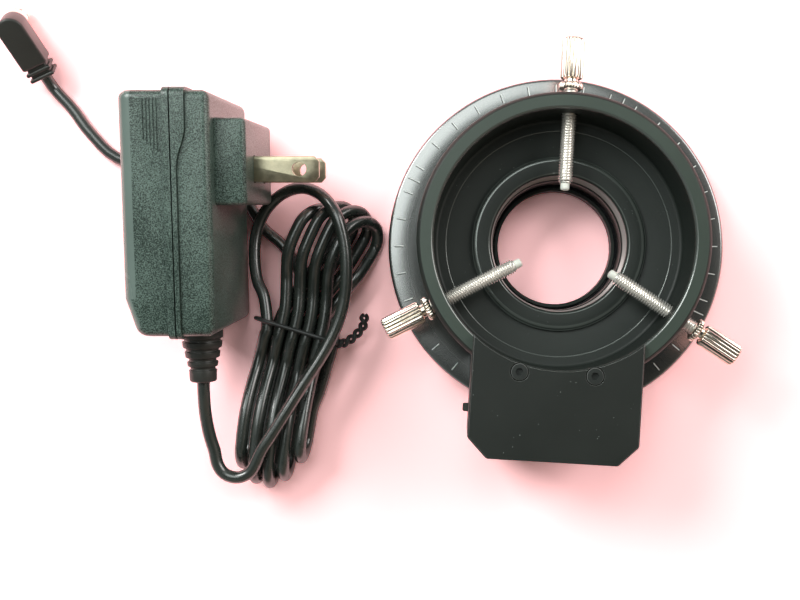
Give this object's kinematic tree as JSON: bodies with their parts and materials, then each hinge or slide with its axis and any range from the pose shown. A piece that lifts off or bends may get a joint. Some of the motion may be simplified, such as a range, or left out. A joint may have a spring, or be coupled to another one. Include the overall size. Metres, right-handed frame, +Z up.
{
  "type": "polarized ring light",
  "caption": "Round polarized ring light for a stereo microscope, with a control box, knurled clamping screws, a turning polarizer ring and a wall adapter on a tied lead.",
  "frame": {"origin": "centre of the bottom of the bounding box of everything but the loose cord, at bench level", "axes": "+Z up from the bench, -Y from the ring's centre towards the control box, +X from the adapter towards the ring"},
  "size_m": [0.2046, 0.1304, 0.0499],
  "materials": {
    "black_anodised": "black anodised, satin",
    "scale_anodised": "dark anodised, fine turned",
    "polarizing_film": "polished, tinted",
    "diffuser": "frosted white",
    "circuit_board": "green laminate",
    "nickel_plate": "bright nickel plate",
    "spring_steel": "drawn wire",
    "black_screw": "black oxide",
    "nylon": "natural nylon",
    "black_plastic": "moulded, satin",
    "adapter_plastic": "moulded, fine grain",
    "winding_tape": "yellow tape",
    "capacitor_can": "sleeved can",
    "cord_jacket": "smooth, slightly glossy",
    "tie_coating": "coated wire"
  },
  "bodies": {
    "lamp_and_adapter": {"mount_collar": "black_anodised", "center_tube": "black_anodised", "led_housing": "black_anodised", "snap_ring": "spring_steel", "led_board": "circuit_board", "diffuser_window": "diffuser", "board_screw_1": "spring_steel", "board_screw_2": "spring_steel", "board_screw_3": "spring_steel", "control_box": "black_anodised", "cover_plate": "black_anodised", "cover_screw_left": "black_screw", "cover_screw_right": "black_screw", "box_screw_left": "spring_steel", "box_screw_right": "spring_steel", "driver_board": "circuit_board", "dimmer_pot": "black_plastic", "switch_body": "black_plastic", "dc_jack": "black_plastic", "led_lead": "cord_jacket", "adapter_rear_shell": "adapter_plastic", "adapter_front_shell": "adapter_plastic", "blade_upper": "nickel_plate", "blade_lower": "nickel_plate", "adapter_board": "circuit_board", "adapter_transformer": "winding_tape", "adapter_capacitor": "capacitor_can", "strain_relief": "black_plastic", "cord_lead": "cord_jacket", "cord_hank": "cord_jacket", "cord_tail": "cord_jacket", "twist_tie": "tie_coating", "plug_body": "black_plastic", "plug_barrel": "nickel_plate", "plug_insulator": "black_plastic"},
    "polarizer_ring": {"scale_ring": "scale_anodised", "polarizer_film": "polarizing_film", "film_retainer": "black_anodised", "film_bezel": "black_anodised"},
    "dimmer": {"dimmer_wheel": "black_plastic"},
    "switch_slider": {"switch_knob": "black_plastic"},
    "pad_top": {"screw_tip_top": "nylon"},
    "screw_top": {"thumbscrew_top": "nickel_plate"},
    "pad_left": {"screw_tip_left": "nylon"},
    "screw_left": {"thumbscrew_left": "nickel_plate"},
    "pad_right": {"screw_tip_right": "nylon"},
    "screw_right": {"thumbscrew_right": "nickel_plate"}
  },
  "joints": [
    {"name": "polarizer_turn", "type": "hinge", "parent": "lamp_and_adapter", "child": "polarizer_ring", "pos_m": [0.0305, 0.0022, 0.0045], "axis": [0, 0, 1], "continuous": true},
    {"name": "dimmer_turn", "type": "hinge", "parent": "lamp_and_adapter", "child": "dimmer", "pos_m": [0.0305, -0.0464, 0.024], "axis": [0, 0, 1], "range_deg": [0, 270]},
    {"name": "switch_slide", "type": "slide", "parent": "lamp_and_adapter", "child": "switch_slider", "axis": [0, 1, 0], "range_m": [0, 0.002]},
    {"name": "screw_top_travel", "type": "slide", "parent": "lamp_and_adapter", "child": "pad_top", "axis": [0, 1, 0], "range_m": [-0.00161, 0.01871]},
    {"name": "screw_top_turn", "type": "hinge", "parent": "pad_top", "child": "screw_top", "pos_m": [0.0305, 0.0472, 0.025], "axis": [0, 1, 0], "range_deg": [-822.86, 9617.14]},
    {"name": "screw_left_travel", "type": "slide", "parent": "lamp_and_adapter", "child": "pad_left", "axis": [-0.866, -0.5, 0], "range_m": [0, 0.02031]},
    {"name": "screw_left_turn", "type": "hinge", "parent": "pad_left", "child": "screw_left", "pos_m": [-0.00847, -0.0203, 0.025], "axis": [-0.866, -0.5, 0], "range_deg": [0, 10440]},
    {"name": "screw_right_travel", "type": "slide", "parent": "lamp_and_adapter", "child": "pad_right", "axis": [0.866, -0.5, 0], "range_m": [-0.00301, 0.01731]},
    {"name": "screw_right_turn", "type": "hinge", "parent": "pad_right", "child": "screw_right", "pos_m": [0.06947, -0.0203, 0.025], "axis": [0.866, -0.5, 0], "range_deg": [-1542.86, 8897.14]}
  ]
}
